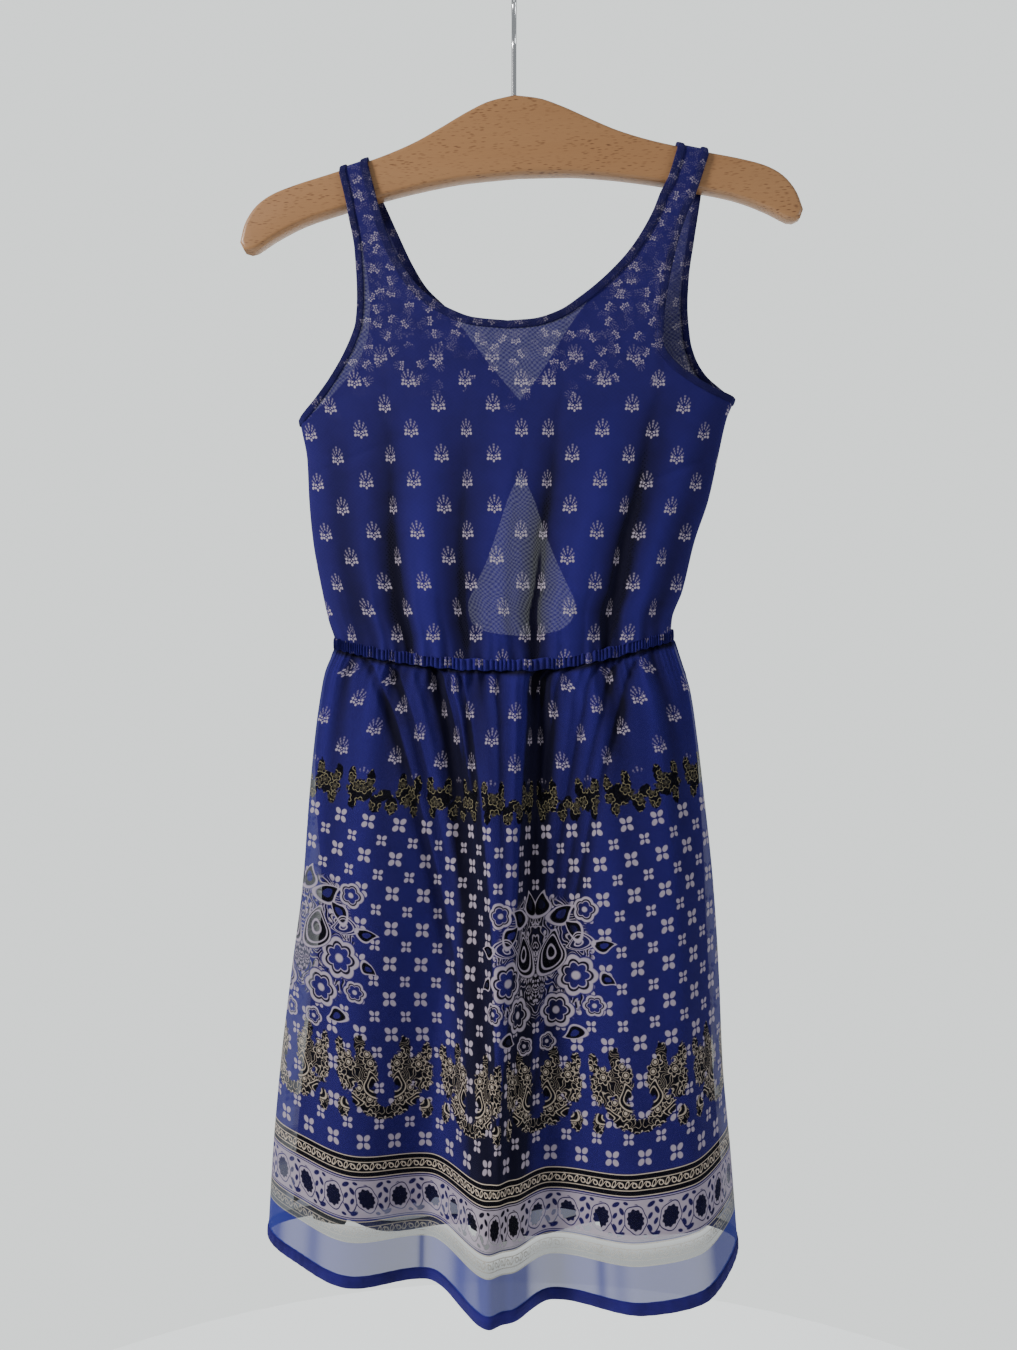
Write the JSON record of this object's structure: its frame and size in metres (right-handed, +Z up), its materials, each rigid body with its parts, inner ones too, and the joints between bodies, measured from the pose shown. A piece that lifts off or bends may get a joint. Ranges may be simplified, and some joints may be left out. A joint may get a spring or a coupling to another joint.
{
  "type": "summer dress on a wooden hanger",
  "caption": "Sleeveless summer dress with a scoop neck, keyhole back, gathered waist and lined sheer skirt, hanging flat on a wooden hanger by its wire hook.",
  "frame": {"origin": "the seat of the hanger's hook: the underside of the hook's top, where a rail carries it", "axes": "+Z up, the dress's front towards -Y, +X to the right as seen from the front"},
  "size_m": [0.4303, 0.1431, 0.9936],
  "materials": {
    "chiffon": "sheer printed chiffon, royal blue with small pale flowers",
    "binding": "narrow bias binding of the same chiffon, folded double",
    "casing": "gathered elastic casing of the same chiffon",
    "hem": "doubled hem of the same chiffon",
    "lining": "plain navy lining",
    "beech": "clear varnished beech",
    "wire": "polished"
  },
  "bodies": {
    "root": {"bodice_front": "chiffon", "bodice_back": "chiffon", "neck_binding_front": "binding", "neck_binding_back": "binding", "arm_binding_front_left": "binding", "arm_binding_front_right": "binding", "arm_binding_back_left": "binding", "arm_binding_back_right": "binding", "keyhole_binding": "binding", "waist_casing_front": "casing", "waist_casing_back": "casing", "skirt_front": "chiffon", "skirt_back": "chiffon", "hem_band_front": "hem", "hem_band_back": "hem", "lining_front": "lining", "lining_back": "lining", "hanger_wood": "beech", "hanger_hook": "wire"}
  },
  "joints": []
}
